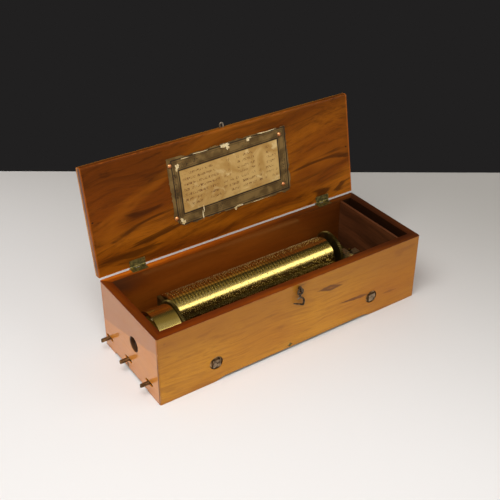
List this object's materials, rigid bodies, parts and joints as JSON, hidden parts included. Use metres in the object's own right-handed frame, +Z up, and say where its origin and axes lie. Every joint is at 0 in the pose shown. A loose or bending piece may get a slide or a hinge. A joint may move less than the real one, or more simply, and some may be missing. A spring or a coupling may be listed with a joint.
{
  "type": "cylinder music box",
  "caption": "Key-wound cylinder musical box in an open fruitwood case, with comb, spring barrel, air-brake governor, tune sheet in the lid and levers at the end.",
  "frame": {"origin": "middle of the case's footprint, on the surface that it stands on", "axes": "+X along the cylinder to its treble and governor end, +Y to the hinged back, +Z up"},
  "size_m": [0.371, 0.167, 0.222],
  "materials": {
    "case_wood": "waxed fruitwood, worn",
    "lid_wood": "figured fruitwood, old wax",
    "inner_wood": "unfinished softwood, darkened",
    "polished_brass": "polished, lacquer worn",
    "tarnished_brass": "tarnished, greenish brown",
    "steel": "bright steel, grey patina",
    "dark_steel": "blued steel, dark patina",
    "lead": "dull lead",
    "paper": "aged rag paper, matt"
  },
  "bodies": {
    "case": {"front_board": "case_wood", "back_board": "case_wood", "left_end_board": "case_wood", "right_end_board": "case_wood", "bottom_board": "inner_wood", "bottom_screws": "tarnished_brass", "key_partition": "inner_wood", "hinge_case_leaves": "polished_brass", "hinge_pins": "steel", "hinge_case_screws": "tarnished_brass", "hook_screw_eye": "dark_steel", "bedplate": "tarnished_brass", "bedplate_bolts": "dark_steel", "bolt_washers": "steel", "comb": "steel", "comb_leads": "lead", "comb_base": "polished_brass", "comb_screws": "dark_steel", "left_bearing_plate": "tarnished_brass", "right_bearing_post": "tarnished_brass", "click_screw": "dark_steel", "click_spring": "dark_steel", "barrel_left_plate": "tarnished_brass", "plate_screws": "dark_steel", "governor_cock": "tarnished_brass", "worm_bridge": "polished_brass", "bridge_screw": "dark_steel", "lever_studs": "steel"},
    "lid": {"lid_board": "lid_wood", "hinge_lid_leaves": "polished_brass", "hinge_lid_screws": "tarnished_brass", "tune_sheet": "paper", "tune_sheet_tacks": "polished_brass", "lid_staple": "steel"},
    "catch_hook": {"catch_hook": "dark_steel"},
    "cylinder_drive": {"cylinder_arbor": "steel", "cylinder_pinion": "steel", "cylinder_great_wheel": "tarnished_brass", "snail_stud": "dark_steel"},
    "cylinder": {"cylinder_tube": "polished_brass", "cylinder_end_caps": "polished_brass"},
    "tune_snail": {"tune_snail": "steel"},
    "barrel": {"barrel_drum": "polished_brass", "barrel_cap": "polished_brass", "barrel_great_wheel": "polished_brass", "mainspring": "dark_steel"},
    "winding_arbor": {"winding_arbor": "steel", "ratchet_wheel": "steel"},
    "ratchet_click": {"ratchet_click": "steel"},
    "governor_first": {"governor_first_arbor": "steel", "governor_first_wheel": "polished_brass"},
    "governor_second": {"governor_second_arbor": "steel", "governor_worm_wheel": "polished_brass"},
    "fly": {"endless_screw": "steel", "fly_vanes": "polished_brass"},
    "stop_lever": {"stop_lever": "dark_steel"},
    "change_lever": {"change_lever": "dark_steel"},
    "instant_stop_lever": {"instant_stop_lever": "dark_steel"}
  },
  "joints": [
    {"name": "lid_hinge", "type": "hinge", "parent": "case", "child": "lid", "pos_m": [0, 0.065, 0.0894], "axis": [1, 0, 0], "range_deg": [0, 100.5]},
    {"name": "catch_hook_swing", "type": "hinge", "parent": "case", "child": "catch_hook", "pos_m": [-0.001, -0.0677, 0.0825], "axis": [1, 0, 0], "range_deg": [-175, 5]},
    {"name": "stop_lever_turn", "type": "hinge", "parent": "case", "child": "stop_lever", "pos_m": [-0.148, 0.0482, 0.016], "axis": [0, 0, 1], "range_deg": [-8, 4]},
    {"name": "change_lever_turn", "type": "hinge", "parent": "case", "child": "change_lever", "pos_m": [-0.148, 0.006, 0.016], "axis": [0, 0, 1], "range_deg": [-8, 8]},
    {"name": "instant_stop_lever_turn", "type": "hinge", "parent": "case", "child": "instant_stop_lever", "pos_m": [-0.148, -0.041, 0.016], "axis": [0, 0, 1], "range_deg": [-8, 8]},
    {"name": "cylinder_turn", "type": "hinge", "parent": "case", "child": "cylinder_drive", "pos_m": [0, 0.02523, 0.03993], "axis": [1, 0, 0], "continuous": true},
    {"name": "cylinder_shift", "type": "slide", "parent": "cylinder_drive", "child": "cylinder", "axis": [1, 0, 0], "range_m": [0, 0.0015]},
    {"name": "tune_snail_turn", "type": "hinge", "parent": "cylinder_drive", "child": "tune_snail", "pos_m": [0.1107, 0.03923, 0.03993], "axis": [-1, 0, 0], "range_deg": [0, 300]},
    {"name": "barrel_turn", "type": "hinge", "parent": "case", "child": "barrel", "pos_m": [-0.1585, -0.0104, 0.0475], "axis": [1, 0, 0], "continuous": true},
    {"name": "winding_turn", "type": "hinge", "parent": "case", "child": "winding_arbor", "pos_m": [-0.1695, -0.0104, 0.0475], "axis": [1, 0, 0], "continuous": true},
    {"name": "click_lift", "type": "hinge", "parent": "case", "child": "ratchet_click", "pos_m": [-0.1655, 0.0001, 0.0615], "axis": [-1, 0, 0], "range_deg": [0, 5], "stiffness_Nm_per_rad": 0.02, "springref_deg": -5.73},
    {"name": "governor_first_turn", "type": "hinge", "parent": "case", "child": "governor_first", "pos_m": [0.1186, -0.00435, 0.03889], "axis": [1, 0, 0], "continuous": true},
    {"name": "governor_second_turn", "type": "hinge", "parent": "case", "child": "governor_second", "pos_m": [0.1186, 0.00504, 0.04231], "axis": [1, 0, 0], "continuous": true},
    {"name": "fly_turn", "type": "hinge", "parent": "case", "child": "fly", "pos_m": [0.1334, -0.00246, 0.0308], "axis": [0, 0, 1], "continuous": true}
  ],
  "couplings": [
    {"joint": "barrel_turn", "follows": "cylinder_turn", "ratio": -0.14634},
    {"joint": "governor_first_turn", "follows": "cylinder_turn", "ratio": -8.25},
    {"joint": "governor_second_turn", "follows": "cylinder_turn", "ratio": 33},
    {"joint": "fly_turn", "follows": "cylinder_turn", "ratio": 660},
    {"joint": "tune_snail_turn", "follows": "cylinder_shift", "rad_per_m": 3490.7}
  ]
}
